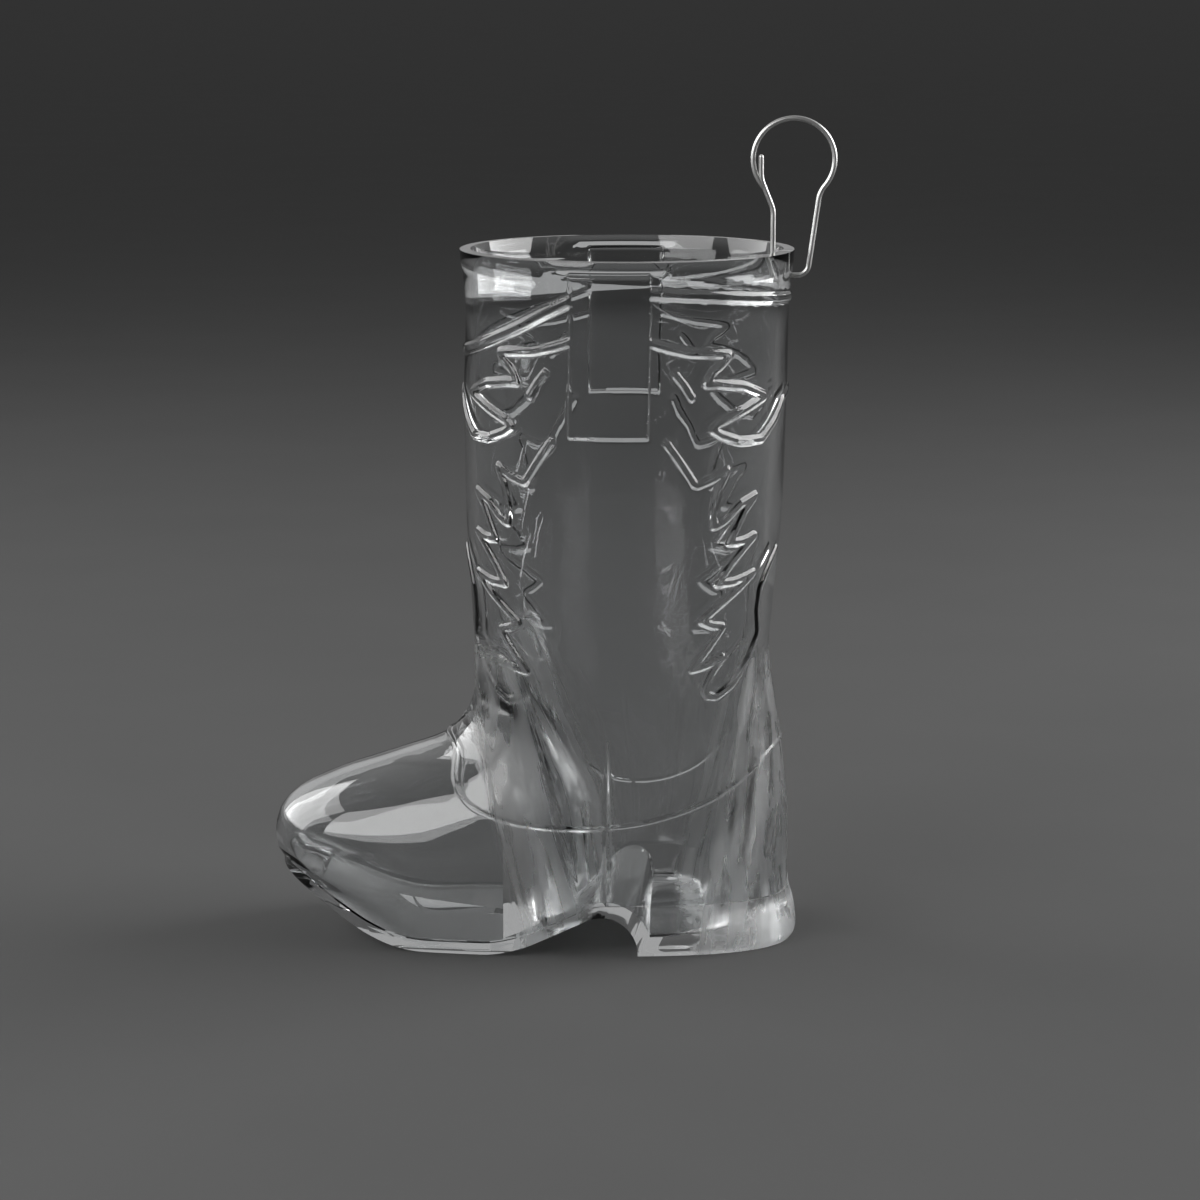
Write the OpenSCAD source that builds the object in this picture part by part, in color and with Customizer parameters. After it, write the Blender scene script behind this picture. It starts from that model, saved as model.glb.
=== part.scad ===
// Boot shot glass: a clear moulded boot with a hollow foot, a bonded sole with heel, and a wire
// hook that swings in a hole under the rim. Millimetres, +Z up, toe towards -X, ground at z = 0.

/* [Boot] */
// height of the rim above the ground
height = 76.2; // [70:0.1:84]
// outside radius of the shaft under the rim bead
mouth_r = 18; // [16:0.1:20]
// reach of the toe in front of the shaft's axis
toe_reach = 39.4; // [36:0.1:43]
// half the width of the foot above the sole
foot_half = 13.2; // [12:0.1:14.5]
// height where the ankle is narrowest
ankle_z = 30.5; // [28:0.1:33]

/* [Rim] */
// how far the bead stands out from the shaft
bead_out = 0.4; // [0.2:0.05:0.8]
// height of the bead
bead_h = 1.8; // [1:0.1:3]
// wall at the mouth
mouth_wall = 1.3; // [1:0.1:2]

/* [Hollows] */
// wall of the toe over its hollow
toe_wall = 1.2; // [0.8:0.1:2]
// back wall of the toe hollow, measured from the shaft's axis
toe_hollow_back = -12.8; // [-15:0.1:-12.2]
// plate left under the drinking well in the heel
heel_floor = 1.6; // [1:0.1:3]

/* [Sole] */
// thickness of the sole under the foot
sole_t = 1.35; // [1:0.05:2.5]
// half the width of the sole
sole_half = 13.5; // [12:0.1:15]
// height of the heel seat, where the heel meets the upper
seat_z = 5.6; // [4.5:0.1:7]
// radius of the hollow arch in front of the heel
arch_r = 4; // [3:0.1:5]
// reach of the sole behind the shaft's axis
heel_reach = 19; // [18:0.1:20]
// reach of the sole in front of the shaft's axis
sole_reach = 38.4; // [36:0.1:40]

/* [Relief] */
// width of a raised flame line
stitch_w = 1.05; // [0.6:0.05:1.4]
// height of a raised flame line over the wall
stitch_h = 0.25; // [0.15:0.05:0.5]
// width of the raised band under the rim
band_w = 1.3; // [0.8:0.05:2]
// width of the seams of the foot
seam_w = 0.7; // [0.5:0.05:1]
// width of a pull strap
strap_w = 8.6; // [6:0.1:10]
// height at which the pull straps end
strap_z = 57.4; // [50:0.1:65]
// thickness of a pull strap over the wall
strap_t = 0.35; // [0.2:0.05:0.6]

/* [Hook] */
// diameter of the wire
wire_d = 0.55; // [0.45:0.05:1]
// diameter of the hole in the wall
hole_d = 1.5; // [1.2:0.05:2]
// depth of the hole under the rim
hole_drop = 3.1; // [2.8:0.1:5]
// radius of the loop, to the middle of the wire
loop_r = 4.4; // [3.5:0.1:6]

/* [Hidden] */
$fn = 48;
round_steps = 40;
// Angle on the shaft, and place along the foot, of the side seam.
seam_v = 93.2;
seam_x = -1.5;
stitch_sink = 0.4;
// Where strokes meet, each runs on past the corner, and every second one is a little lower.
stitch_lap = 0.25 * stitch_w;
stitch_low = 0.8 * stitch_h;
seam_h = 0.7 * stitch_h;
// Height over which the back wall of the toe hollow leans forward, and its lean per millimetre.
toe_lean_z = 13;
toe_lean = 0.29;
side_seam_h = 0.5 * stitch_h;
hole_z = height - hole_drop;
hinge_x = mouth_r - 0.5;
// Middle of the hollow arch in front of the heel.
arch = [-2.1, 0.3];

// Wire bent in the XZ plane: each row is a straight length, then a turn and its radius.
outer_bends = [[1.05, 82, 1.2], [7.2, -32, 3], [0, 255, loop_r], [0.6, 0, 0]];
inner_bends = [[1.05, 90, 0.6], [5.9, -22, 3], [2.4, 22, 3], [1.75, 0, 0]];

// Stations along a bent wire, each with x, z and heading, from a start with the same three.
function walk(bends, from, i = 0) =
    let(b = bends[i], h = from[2])
    let(p = [from[0] + b[0] * cos(h), from[1] + b[0] * sin(h), h])
    let(steps = max(1, ceil(abs(b[1]) / 9)), turn = sign(b[1]) * b[2])
    let(cx = p[0] - turn * sin(h), cz = p[1] + turn * cos(h))
    let(bend = [for (k = [1:steps])
        let(g = h + b[1] * k / steps)
        [cx + turn * sin(g), cz - turn * cos(g), g]])
    i == len(bends) - 1 ? [p] : concat([p], bend, walk(bends, bend[steps - 1], i + 1));

// The box is centred on the origin, so the shaft's axis stands off it by this much.
outer_wire = walk(outer_bends, [hinge_x, hole_z, 0]);
loop_out = max([for (p = outer_wire) p[0] + wire_d / 2 * abs(sin(p[2]))]);
axis_x = (toe_reach - loop_out) / 2;

// Oval sections of the outside, from the rim to under the sole. Each row has the front end of
// the section as x and z, the back end as x and z, half the width, the roundness of the front
// and back halves, where 2 is an ellipse and more is squarer, and the dip under the ball.
sections = [
    [-mouth_r + 0.5, height, mouth_r - 0.5, height, mouth_r - 0.5, 2, 2],
    [-mouth_r - 0.15, height - 0.2, mouth_r + 0.15, height - 0.2, mouth_r + 0.15, 2, 2],
    [-mouth_r - bead_out, height - bead_h * 0.45, mouth_r + bead_out, height - bead_h * 0.45,
        mouth_r + bead_out, 2, 2],
    [-mouth_r - 0.15, height - bead_h * 0.8, mouth_r + 0.15, height - bead_h * 0.8,
        mouth_r + 0.15, 2, 2],
    [-mouth_r, height - bead_h, mouth_r, height - bead_h, mouth_r, 2, 2],
    [-17.8, 60, 17.5, 60, 17.6, 2, 2],
    [-17.6, 46, 17, 46, 17.1, 2, 2],
    [-17, 35.5, 16.1, 36.5, 15.9, 2, 2],
    [-16.8, ankle_z, 15.8, ankle_z + 1, 15, 2, 2],
    [-17.2, 25.8, 16.4, 27, 14.1, 1.95, 2],
    [-20.3, 21.9, 17.2, 21.5, 13.4, 1.85, 2.05],
    [-26.5, 19.6, 17.7, 17, foot_half, 1.75, 2.15],
    [-32.4, 17.6, 18, 13.4, foot_half, 1.8, 2.3],
    [-36.8, 15.4, 18, 10.6, foot_half, 1.9, 2.5],
    [-38.8, 13.3, 18, 8.6, foot_half, 2.05, 2.7],
    [-toe_reach, 10.8, 18, 7.2, foot_half, 2.15, 2.8],
    [-39, 8.8, 18, 6.2, foot_half, 2.2, 2.9, 2.5],
    [-38, 7.2, 18, 5.2, foot_half, 2.25, 3, 5],
    [-36.6, 5.6, 18, 4, foot_half, 2.25, 3, 7.5],
    [-35, 4, 18, 3, foot_half, 2.25, 3, 9]
];
skin = [for (r = sections) len(r) == 7 ? concat(r, 0) : r];
// How many rings the loft takes between one row and the next.
skin_steps = [1, 1, 1, 1, 1, 1, 2, 2, 2, 3, 2, 2, 2, 2, 1, 1, 1, 1, 1];

// The drinking well, as the tapered core that forms it: level sections, front and back end,
// height, half width.
well = [
    [-mouth_r + 0.6, mouth_r - 0.6, height + 0.6, mouth_r - 0.6],
    [-mouth_r + 0.8, mouth_r - 0.8, height, mouth_r - 0.8],
    [-mouth_r + mouth_wall, mouth_r - mouth_wall, height - 0.7, mouth_r - mouth_wall],
    [-16.5, 16.1, 60, 16.1],
    [-16.2, 15.3, 46, 15.6],
    [-15.4, 14.7, 36, 14.4],
    [-14.6, 14.45, 31, 13.5],
    [-13.7, 14.3, 27.4, 12.7],
    [-13, 14.25, 24.6, 12.2],
    [-12.4, 14.2, 22.2, 11.9],
    [-12, 14.1, 19.6, 11.7],
    [-11.5, 13.8, 15, 11.4],
    [-11, 13.2, 10, 11.1],
    [-10.2, 11.8, 1, 10.5]
];

// Tread of the sole, from the toe to the arch, as x and z.
tread = [
    [-sole_reach - 4, 10], [-sole_reach, 7.5], [-34.8, 5.5], [-31.6, 3.6], [-28, 1.6], [-24.5, 0.35],
    [-21.5, 0], [-15, 0], [-11, 0.75], [-6.5, 2.7], [-3.79, 3.93]
];
// Bonded face between sole and upper, from the toe to the heel.
bond = concat(
    [for (p = [for (i = [0:len(tread) - 3]) tread[i]]) [p[0], p[1] + sole_t]],
    [[-6.3, 2.7 + sole_t], [-3.4, seat_z - 0.3], [-2, seat_z], [24, seat_z]]
);

// Strokes of one quarter of the flame stitch, as degrees from the side seam and height. A stroke
// starts where the one before it ends, except at the head of each of the three flames.
flames = [
    [[13, 67.6], [20, 66.9], [28, 66.3], [44, 65.9]],
    [[44, 65.9], [37, 64.2], [34.6, 62.9]],
    [[34.6, 62.9], [51, 62.4], [63.5, 61]],
    [[63.5, 61], [47, 59.4], [37.4, 58.1]],
    [[37.4, 58.1], [41, 57.4], [50, 56.5], [62, 56.4], [72, 58.2], [86.8, 60.8]],
    [[23, 64.1], [29, 61.6]],
    [[20.5, 56.8], [31.2, 52.2]],
    [[31.2, 52.2], [44.5, 53.6]],
    [[44.5, 53.6], [38.6, 49.4], [39.2, 47.6]],
    [[39.2, 47.6], [50.5, 49.7], [59.5, 50.5]],
    [[59.5, 50.5], [46.5, 45.7]],
    [[46.5, 45.7], [60.5, 46.1]],
    [[60.5, 46.1], [42.2, 41.1]],
    [[42.2, 41.1], [61.5, 41.7]],
    [[61.5, 41.7], [36.2, 37.1]],
    [[36.2, 37.1], [46.5, 36.1]],
    [[46.5, 36.1], [33, 31.7]],
    [[33, 31.7], [47.5, 32.6]],
    [[47.5, 32.6], [38.2, 29.2]],
    [[38.2, 29.2], [43, 28.2], [52, 29.3], [63, 31.8], [69.5, 34.4]],
    [[69.5, 34.4], [67, 38], [74, 42], [81, 43.6]]
];
// Middle of the raised band, as degrees from the side seam towards the toe and height.
band = [[-93.2, 70.8], [-60, 71.5], [-30, 72.3], [-8, 72.7], [8, 72.5], [18, 71.2], [35, 68.7],
    [52, 66.8], [70, 65.5], [86.8, 64.9]];

// Smooth curve through rows of numbers, taken at s from 0 to the last row.
function curve(rows, s) =
    let(n = len(rows) - 1, i = min(floor(s), n - 1), t = s - i)
    let(a = rows[max(i - 1, 0)], b = rows[i], c = rows[i + 1], d = rows[min(i + 2, n)])
    b + t * ((c - a) / 2 + t * (a - 2.5 * b + 2 * c - d / 2 + t * (1.5 * (b - c) + (d - a) / 2)));

function unit(v) = v / norm(v);

// Point of an oval section at angle v, where 0 is the back and 180 the front.
function oval(row, v) =
    let(c = cos(v), s = sin(v), p = c < 0 ? row[5] : row[6])
    let(u = sign(c) * pow(abs(c), 2 / p), w = sign(s) * pow(abs(s), 2 / p))
    [
        (row[0] + row[2]) / 2 + (row[2] - row[0]) / 2 * u,
        row[4] * w,
        (row[1] + row[3]) / 2 + (row[3] - row[1]) / 2 * u
            - row[7] * exp(-pow((u + 0.25) / 0.42, 2))
    ];

// Angle at which a section passes a given x.
function angle_at(row, x) =
    let(u = (2 * x - row[0] - row[2]) / (row[2] - row[0]), p = u < 0 ? row[5] : row[6])
    acos(sign(u) * pow(abs(u), p / 2));

// Rows of the outside moved in by a wall t, along the normal of the front outline.
function inset(i, t) =
    let(a = skin[i - 1], b = skin[i + 1], r = skin[i])
    let(dx = b[0] - a[0], dz = b[1] - a[1], l = norm([dx, dz]))
    [r[0] - t * dz / l, r[1] + t * dx / l, r[2] - t, r[3] - t, r[4] - t, r[5], r[6], r[7]];

// Place on the outside: row s, counted down from the rim, and angle v.
function spot(s, v) = oval(curve(skin, s), v);
function normal(s, v) =
    unit(cross(spot(s + 0.05, v) - spot(s - 0.05, v), spot(s, v + 1) - spot(s, v - 1)));

// Row and angle for degrees from the side seam towards the toe, and a height on the shaft.
function on_shaft(angle, z) =
    [lookup(z, [for (i = [10:-1:4]) [(skin[i][1] + skin[i][3]) / 2, i]]), seam_v + angle];

// Skin over a row of rings, with flat ends, or joined end to start when it is closed.
module loft(rings, closed = false) {
    n = len(rings[0]);
    m = len(rings);
    sides = [for (j = [0:closed ? m - 1 : m - 2], i = [0:n - 1]) let(k = (j + 1) % m)
        [j * n + i, j * n + (i + 1) % n, k * n + (i + 1) % n, k * n + i]];
    top = [for (i = [0:n - 1]) n - 1 - i];
    bottom = [for (i = [0:n - 1]) (m - 1) * n + i];
    polyhedron([for (r = rings) each r], concat(sides, closed ? [] : [top, bottom]), convexity = 8);
}

function ring(row) = [for (i = [0:round_steps - 1]) oval(row, 360 * i / round_steps)];

module outside() {
    loft(concat(
        [for (i = [0:len(skin) - 2], k = [0:skin_steps[i] - 1])
            ring(curve(skin, i + k / skin_steps[i]))],
        [ring(skin[len(skin) - 1])]
    ));
}

module drinking_well() {
    loft([for (w = well) ring([w[0], w[2], w[1], w[2], w[3], 2, 2, 0])]);
}

// The toe hollow follows the outside, and runs out through the bonded face under it.
module toe_hollow() {
    rows = [for (k = [9:18]) inset(k, toe_wall)];
    below = rows[9] - [0, 3, 0, 3, 0, 0, 0, 0];
    intersection() {
        loft([for (s = [0.5, each [1:9]]) ring(curve(rows, s)), ring(below)]);
        side_plate([
            [-60, -10], [-60, 40], [toe_hollow_back - toe_lean * (40 - toe_lean_z), 40],
            [toe_hollow_back, toe_lean_z], [toe_hollow_back, -10]
        ]);
    }
}

// One raised line along places on the outside: a low trapezium swept from place to place.
module stitch(path, width, high, closed = false) {
    n = len(path);
    at = [for (q = path) spot(q[0], q[1])];
    rings = [for (i = [0:n - 1])
        let(next = closed ? (i + 1) % n : min(i + 1, n - 1))
        let(last = closed ? (i + n - 1) % n : max(i - 1, 0))
        let(out = normal(path[i][0], path[i][1]), way = unit(at[next] - at[last]))
        let(side = unit(cross(out, way)) * width / 2)
        let(lap = closed ? 0 : i == 0 ? -stitch_lap : i == n - 1 ? stitch_lap : 0)
        let(foot = at[i] + way * lap - out * stitch_sink, top = foot + out * (stitch_sink + high))
        [foot - side, top - side * 0.6, top + side * 0.6, foot + side]];
    loft(rings, closed);
}

module both_sides() {
    children();
    mirror([0, 1, 0])
        children();
}

module flame_stitch() {
    both_sides() {
        for (i = [0:len(flames) - 1], way = [-1, 1]) {
            stitch([for (p = flames[i]) on_shaft(way * p[0], p[1])], stitch_w,
                i % 2 == 0 ? stitch_h : stitch_low);
        }
    }
}

module top_band() {
    stitch([for (v = [0:12:348])
        let(a = min(v, 360 - v) - seam_v)
        [on_shaft(a, lookup(a, band))[0], v]], band_w, stitch_h, closed = true);
}

// Seam round the heel counter and the vamp: high at the back and the instep, low at the sides.
module counter_seam() {
    stitch([for (v = [0:12:348]) [9.9 + 2.6 * pow(abs(sin(v)), 3), v]], seam_w, seam_h,
        closed = true);
}

module side_seam() {
    both_sides() {
        stitch([for (s = [9.5:1:17.5]) [s, angle_at(curve(skin, s), seam_x)]], seam_w, side_seam_h);
    }
}

// Loop of webbing lying flat on the shaft, bent round it in flat steps.
module pull_strap() {
    steps = 4;
    reach = strap_w / 2 / mouth_r * 180 / PI;
    both_sides() {
        for (k = [0:steps - 1]) {
            hull() {
                for (e = [0, 1], z = [strap_z, height - 1], off = [-0.5, strap_t]) {
                    q = on_shaft(-reach + 2 * reach * (k + e) / steps, z);
                    translate(spot(q[0], q[1]) + normal(q[0], q[1]) * off)
                        cube(0.02, center = true);
                }
            }
        }
    }
}

module side_plate(points) {
    translate([0, 40, 0])
        rotate([90, 0, 0])
            linear_extrude(80)
                polygon(points);
}

module boot_upper() {
    color("azure")
        translate([axis_x, 0, 0])
            difference() {
                union() {
                    outside();
                    flame_stitch();
                    top_band();
                    counter_seam();
                    side_seam();
                    pull_strap();
                }
                drinking_well();
                toe_hollow();
                side_plate(concat(bond, [[24, -20], [-sole_reach - 4, -20]]));
                translate([mouth_r - 4, 0, hole_z])
                    rotate([0, 90, 0])
                        cylinder(d = hole_d, h = 8, $fn = 24);
            }
}

// Edge of the sole from above the welt down to the ground: height, and how far it draws in at
// the back of the heel and at the sides.
edge = [
    [12, 0.9, 0.15], [seat_z, 0.9, 0.15], [2.5, 0.2, 0], [0.9, 0, 0], [0, 0.4, 0.2], [-1, 0.8, 0.4]
];

module sole_heel() {
    color("lightcyan")
        translate([axis_x, 0, 0])
            difference() {
                intersection() {
                    loft([for (e = edge) let(back = heel_reach - e[1], half = sole_half - e[2])
                        ring([-sole_reach, e[0], back, e[0], half, 2.25, 3, 0])]);
                    side_plate(concat(
                        bond,
                        [[24, 0], [arch[0], 0], arch],
                        [for (i = [len(tread) - 1:-1:0]) tread[i]]
                    ));
                }
                translate([arch[0], 40, arch[1]])
                    rotate([90, 0, 0])
                        cylinder(r = arch_r, h = 80);
                heel_pocket();
            }
}

// Foot of the drinking well, in the heel.
module heel_pocket() {
    high = well[len(well) - 2];
    low = well[len(well) - 1];
    w = high + (low - high) * (high[2] - seat_z) / (high[2] - low[2]);
    foot = [w[0], 0, w[1], 0, w[3], 2, 2, 0];
    difference() {
        translate([0, 0, heel_floor])
            linear_extrude(20)
                polygon([for (v = [0:8:352]) let(p = oval(foot, v)) [p[0], p[1]]]);
        translate([arch[0], 40, arch[1]])
            rotate([90, 0, 0])
                cylinder(r = arch_r + sole_t, h = 80);
        translate([arch[0] - 60, -40, 0])
            cube([60, 80, 40]);
    }
}

module wire_hook() {
    sides = 8;
    in = walk(inner_bends, [-hinge_x, hole_z, 0]);
    path = concat([for (i = [len(in) - 1:-1:0]) [-in[i][0], in[i][1], -in[i][2]]], outer_wire);
    last = len(path) - 1;
    rings = [for (i = [0:last], tip = i == 0 ? [0.55, 1] : i == last ? [1, 0.55] : [1])
        let(p = path[i], end = tip < 1 ? (i == 0 ? -0.2 : 0.2) : 0, r = wire_d / 2 * tip)
        [for (k = [0:sides - 1]) let(a = 360 * k / sides)
            [
                p[0] + end * cos(p[2]) - r * cos(a) * sin(p[2]),
                r * sin(a),
                p[1] + end * sin(p[2]) + r * cos(a) * cos(p[2])
            ]]];
    color("silver")
        translate([axis_x, 0, 0]) {
            loft(rings);
            translate([hinge_x - 1, 0, hole_z])
                rotate([0, 90, 0])
                    cylinder(d = wire_d + 0.02, h = 2);
        }
}

boot_upper();
sole_heel();
wire_hook();
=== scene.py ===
# %% [markdown]
# # A clear boot that holds a shot
# The object is a small drinking glass, moulded as a western boot in clear plastic, with raised
# flame stitching on the shaft, a thin sole with a heel, and a bent wire hook at the back of the
# rim. Clear things are hard to model, because every wall shows: the outside, the inside and the
# edges all bend the light. So this lesson builds true closed walls, one formula per surface.

# %% Load the frame
import math

import bpy
import numpy as np
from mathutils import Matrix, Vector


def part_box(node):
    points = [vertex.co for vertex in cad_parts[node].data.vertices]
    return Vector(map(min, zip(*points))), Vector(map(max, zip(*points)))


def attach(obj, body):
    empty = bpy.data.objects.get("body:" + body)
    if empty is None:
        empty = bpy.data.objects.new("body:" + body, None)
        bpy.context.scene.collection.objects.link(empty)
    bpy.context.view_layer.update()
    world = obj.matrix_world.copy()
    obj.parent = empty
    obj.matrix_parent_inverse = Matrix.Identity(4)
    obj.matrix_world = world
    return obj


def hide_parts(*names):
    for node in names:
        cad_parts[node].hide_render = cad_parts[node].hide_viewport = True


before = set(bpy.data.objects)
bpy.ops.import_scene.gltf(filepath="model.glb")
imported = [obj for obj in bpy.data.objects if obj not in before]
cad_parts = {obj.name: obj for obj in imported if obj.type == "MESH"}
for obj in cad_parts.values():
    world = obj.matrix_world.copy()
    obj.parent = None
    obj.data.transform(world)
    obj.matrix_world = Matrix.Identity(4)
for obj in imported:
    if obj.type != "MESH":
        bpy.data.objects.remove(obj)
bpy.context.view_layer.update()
MM = 0.001
TOE_REACH = 39.4
AXIS_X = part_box("boot_upper")[0].x / MM + TOE_REACH
print("nodes", sorted(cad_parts), "shaft axis at x =", round(AXIS_X, 3), "mm")

# %% [markdown]
# ## One curve through a table of rows
# Both the boot's skin and the smaller parts start from a short table of sections. A cubic curve
# through the rows gives as many sections as the mesh needs. The rows lie at uneven distances,
# close together at the rim and far apart on the shaft, so the slope at each row is weighted by
# the two gaps beside it. That keeps the curve from swinging past the close rows.

# %% Curves through rows
def slopes(knots, rows, level=False):
    """Slope at each row: the slopes on both sides, weighted by the opposite gap.
    With level, a row between a rise and a fall, or next to a flat, gets a slope of zero."""
    gap = np.diff(knots)[:, None]
    step = np.diff(rows, axis=0) / gap
    inner = (gap[1:] * step[:-1] + gap[:-1] * step[1:]) / (gap[1:] + gap[:-1])
    if level:
        inner = np.where(step[:-1] * step[1:] <= 0, 0, inner)
    return np.concatenate([step[:1], inner, step[-1:]])


def through(knots, rows, t, level=False):
    """Cubic Hermite curve through the rows, taken at t: each piece blends two rows and their
    slopes with the four Hermite weights of the place f between them."""
    i = np.clip(np.searchsorted(knots, t, side="right") - 1, 0, len(knots) - 2)
    gap = (knots[i + 1] - knots[i])[:, None]
    f = (t[:, None] - knots[i][:, None]) / gap
    m = slopes(knots, rows, level)
    return (
        rows[i] * (1 + 2 * f) * (1 - f) ** 2
        + rows[i + 1] * f * f * (3 - 2 * f)
        + gap * (m[i] * f * (1 - f) ** 2 + m[i + 1] * f * f * (f - 1))
    )


DIP_AT, DIP_WIDTH = -0.25, 0.42


def oval(row, angle):
    """Point of a tilted oval section: a superellipse in polar form. With the unit direction
    (c, s), the reach is (|c|^p + |s|^p)^(-1/p), stretched to the section's half length and
    half width. The height goes from the back end to the front end, less a dip like a bell
    curve under the ball of the foot."""
    front_x, front_z, back_x, back_z, half, front_p, back_p, dip = np.moveaxis(row, -1, 0)
    c, s = np.cos(angle), np.sin(angle)
    p = np.where(c < 0, front_p, back_p)
    reach = (np.abs(c) ** p + np.abs(s) ** p) ** (-1 / p)
    u = c * reach
    x = (front_x + back_x) / 2 + (back_x - front_x) / 2 * u
    z = (front_z + back_z) / 2 + (back_z - front_z) / 2 * u
    bell = np.exp(-(((u - DIP_AT) / DIP_WIDTH) ** 2))
    return np.stack([x, half * s * reach, z - dip * bell], -1)


def level_rows(table):
    """Level oval rows from front x, back x, height and half width."""
    front, back, z, half = np.array(table, float).T
    two, none = np.full(len(z), 2.0), np.zeros(len(z))
    return np.stack([front, z, back, z, half, two, two, none], -1)


# %% [markdown]
# ## The skin of the boot
# The skin is one sheet of oval sections. It starts at the foot of the drinking well, down in
# the heel, climbs the inside of the shaft, rolls over the rim, comes down the outside, leans over
# the instep and ends under the foot. Making inside and outside one sheet means that the wall is
# closed by construction, with nothing to sew at the rim.

# %% Sections of the skin
WELL = level_rows([
    [-10.2, 11.8, 1, 10.5], [-11, 13.2, 10, 11.1], [-11.5, 13.8, 15, 11.4],
    [-12, 14.1, 19.6, 11.7], [-12.4, 14.2, 22.2, 11.9], [-13, 14.25, 24.6, 12.2],
    [-13.7, 14.3, 27.4, 12.7], [-14.6, 14.45, 31, 13.5], [-15.4, 14.7, 36, 14.4],
    [-16.2, 15.3, 46, 15.6], [-16.5, 16.1, 60, 16.1], [-16.7, 16.6, 72, 16.65],
    [-16.72, 16.72, 75, 16.72], [-16.85, 16.85, 75.75, 16.85], [-17.15, 17.15, 76.12, 17.15],
])
RIM = level_rows([
    [-17.5, 17.5, 76.2, 17.5], [-17.95, 17.95, 76.1, 17.95], [-18.27, 18.27, 75.8, 18.27],
    [-18.39, 18.39, 75.39, 18.39], [-18.27, 18.27, 74.95, 18.27], [-18.08, 18.08, 74.6, 18.08],
    [-17.97, 18.0, 74, 18.0],
])
FOOT_HALF = 13.2
OUTSIDE = np.array([
    [-17.8, 60, 17.5, 60, 17.6, 2, 2, 0],
    [-17.6, 46, 17, 46, 17.1, 2, 2, 0],
    [-17, 35.5, 16.1, 36.5, 15.9, 2, 2, 0],
    [-16.8, 30.5, 15.8, 31.5, 15, 2, 2, 0],
    [-17.2, 25.8, 16.4, 27, 14.1, 1.95, 2, 0],
    [-20.3, 21.9, 17.2, 21.5, 13.4, 1.85, 2.05, 0],
    [-26.5, 19.6, 17.7, 17, FOOT_HALF, 1.75, 2.15, 0],
    [-32.4, 17.6, 18, 13.4, FOOT_HALF, 1.8, 2.3, 0],
    [-36.8, 15.4, 18, 10.6, FOOT_HALF, 1.9, 2.5, 0],
    [-38.8, 13.3, 18, 8.6, FOOT_HALF, 2.05, 2.7, 0],
    [-39.38, 10.8, 18, 7.2, FOOT_HALF, 2.15, 2.8, 0],
    [-39, 8.8, 18, 6.2, FOOT_HALF, 2.2, 2.9, 2.5],
    [-38, 7.2, 18, 5.2, FOOT_HALF, 2.25, 3, 5],
    [-36.6, 5.6, 18, 4, FOOT_HALF, 2.25, 3, 7.5],
    [-35, 4, 18, 3, FOOT_HALF, 2.25, 3, 9],
])
SKIN = np.concatenate([WELL, RIM, OUTSIDE])
FIRST_OUTSIDE = len(WELL) + len(RIM)

around = np.linspace(0, 2 * np.pi, 72, endpoint=False)
rings = oval(SKIN[:, None], around)
gaps = np.linalg.norm(np.diff(rings, axis=0), axis=-1).mean(1)
SKIN_T = np.concatenate([[0], np.cumsum(gaps)])
print("skin runs", round(SKIN_T[-1], 1), "mm over", len(SKIN), "sections")


STEP_ALONG, STEP_ROUND = 0.02, 0.002


def skin(t, angle):
    """Place on the skin: t millimetres along the sheet, and an angle, 0 at the back."""
    return oval(through(SKIN_T, SKIN, t), angle)


def skin_normal(t, angle):
    """Outward normal: the cross product of the step along the sheet and the step round it."""
    along = skin(t + STEP_ALONG, angle) - skin(t - STEP_ALONG, angle)
    round_it = skin(t, angle + STEP_ROUND) - skin(t, angle - STEP_ROUND)
    normal = np.cross(along, round_it)
    return normal / np.linalg.norm(normal, axis=-1, keepdims=True)


# %% [markdown]
# ## Lines of raised stitching
# The moulding copies the stitching of a real boot as raised lines: flame tongues on the four
# quarters of the shaft, a scalloped band under the rim, a counter seam round the foot and
# a seam up each side. A line is a path on the skin, most of them given as degrees from the side
# seam and a height. More points are put between its corners, so that it follows the round skin.

# %% Paths of the stitching
SEAM_ANGLE = math.radians(93.2)
FLAMES = [
    [[13, 67.6], [20, 66.9], [28, 66.3], [38, 66.1], [44, 65.9], [41, 65], [37, 64.2],
     [34.6, 62.9], [39, 62.9], [51, 62.4], [63.5, 61], [58, 60.5], [47, 59.4], [39, 58.6],
     [37.4, 58.1], [41, 57.4], [50, 56.5], [62, 56.4], [72, 58.2], [80, 60.2], [86.8, 60.8]],
    [[23, 64.1], [26, 63], [29, 61.6]],
    [[20.5, 56.8], [26, 54.5], [31.2, 52.2], [37, 52.7], [44.5, 53.6], [41, 51.9], [38.6, 49.4],
     [39.2, 47.6], [44, 48.2], [50.5, 49.7], [59.5, 50.5], [53.5, 49], [46.5, 45.7], [53, 45.6],
     [60.5, 46.1], [55, 45], [48, 43.2], [42.2, 41.1], [51, 41.1], [61.5, 41.7], [54, 40.3],
     [45, 38.8], [36.2, 37.1], [41, 36.4], [46.5, 36.1], [40, 33.9], [33, 31.7], [40, 32],
     [47.5, 32.6], [42, 31], [38.2, 29.2], [38.8, 28.5], [43, 28.2], [52, 29.3], [63, 31.8],
     [69.5, 34.4], [67, 37], [67.5, 39.6], [74, 42], [81, 43.6]],
]
BAND = np.array([
    [-93.2, 70.8], [-60, 71.5], [-30, 72.3], [-8, 72.7], [8, 72.5], [18, 71.2], [35, 68.7],
    [52, 66.8], [70, 65.5], [86.8, 64.9],
])

FLAME_SCALE = np.array([0.3, 1])

shaft_t = np.linspace(SKIN_T[FIRST_OUTSIDE - 3], SKIN_T[FIRST_OUTSIDE + 6], 400)
shaft_row = through(SKIN_T, SKIN, shaft_t)
shaft_z = (shaft_row[:, 1] + shaft_row[:, 3]) / 2


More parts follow.
